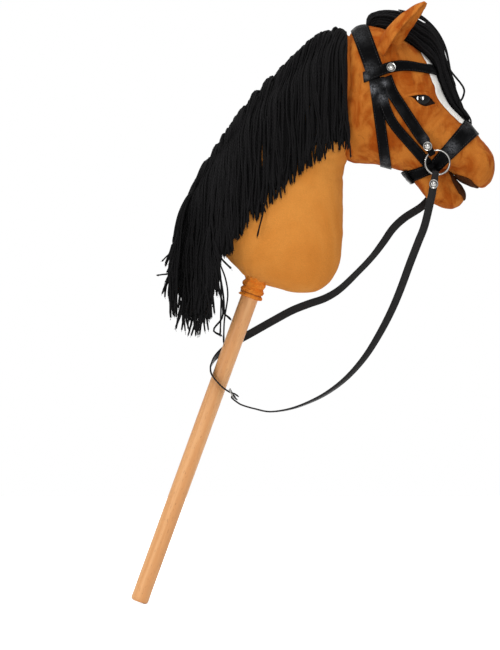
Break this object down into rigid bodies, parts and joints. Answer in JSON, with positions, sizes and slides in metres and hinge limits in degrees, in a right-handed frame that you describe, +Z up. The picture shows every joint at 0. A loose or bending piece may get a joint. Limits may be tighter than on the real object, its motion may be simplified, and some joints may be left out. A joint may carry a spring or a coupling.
{
  "type": "hobby horse",
  "caption": "Ride-on toy: a stuffed plush horse head and neck on a wooden stick, with a yarn mane and a leather bridle with rings and reins.",
  "frame": {"origin": "middle of the stick's flat foot", "axes": "+X the way the horse looks, +Z up; -Y is the near side that the picture shows (the horse's right); the stick leans 20 degrees forwards from +Z, as it is held"},
  "size_m": [0.4332, 0.117, 0.7181],
  "materials": {
    "stick_beech": "smooth, clear varnish",
    "plush_neck": "short velour pile, golden tan",
    "plush_head": "short velour pile, mottled orange-brown",
    "plush_cuff": "short velour pile, bunched",
    "mouth_felt": "dark brown cloth",
    "blaze_plush": "off-white pile",
    "mane_yarn": "black twisted yarn",
    "bridle_leather": "black, semi-gloss, stitched",
    "bright_metal": "bright nickel",
    "eye_gloss": "polished black",
    "rim_felt": "dark felt",
    "washer_plastic": "plain moulded"
  },
  "bodies": {
    "horse": {"stick": "stick_beech", "neck": "plush_neck", "cuff": "plush_cuff", "head": "plush_head", "lower_jaw": "plush_head", "ear_near": "plush_head", "ear_far": "plush_head", "cuff_tie": "mouth_felt", "palate_lining": "mouth_felt", "jaw_lining": "mouth_felt", "mane_tape": "mouth_felt", "blaze": "blaze_plush", "mane_near": "mane_yarn", "mane_far": "mane_yarn", "forelock": "mane_yarn", "throat_lash": "bridle_leather", "crownpiece": "bridle_leather", "noseband": "bridle_leather", "chin_strap": "bridle_leather", "chin_lap": "bridle_leather", "noseband_headstrap_near": "bridle_leather", "noseband_headstrap_far": "bridle_leather", "cheekpiece_near": "bridle_leather", "cheekpiece_far": "bridle_leather", "browband": "bridle_leather", "rein_near": "bridle_leather", "rein_far": "bridle_leather", "cheek_stud_near": "bright_metal", "cheek_stud_far": "bright_metal", "brow_stud_near": "bright_metal", "brow_stud_far": "bright_metal", "rein_buckle": "bright_metal", "eye_near": "eye_gloss", "eye_far": "eye_gloss", "eye_rim_near": "rim_felt", "eye_rim_far": "rim_felt", "eye_washer_near": "washer_plastic", "eye_washer_far": "washer_plastic"},
    "ring_near": {"ring_near": "bright_metal", "rein_end_near": "bridle_leather", "rein_stud_near": "bright_metal"},
    "ring_far": {"ring_far": "bright_metal", "rein_end_far": "bridle_leather", "rein_stud_far": "bright_metal"},
    "rein_prong": {"rein_prong": "bright_metal"}
  },
  "joints": [
    {"name": "ring_near_swing", "type": "hinge", "parent": "horse", "child": "ring_near", "pos_m": [0.3473, -0.04655, 0.53485], "axis": [-0.8518, 0, -0.5239], "range_deg": [0, 45]},
    {"name": "ring_far_swing", "type": "hinge", "parent": "horse", "child": "ring_far", "pos_m": [0.3473, 0.04655, 0.53485], "axis": [0.8518, 0, 0.5239], "range_deg": [0, 45]},
    {"name": "buckle_prong", "type": "hinge", "parent": "horse", "child": "rein_prong", "pos_m": [0.11233, -0.0165, 0.24379], "axis": [0, 1, 0], "range_deg": [0, 30]}
  ]
}
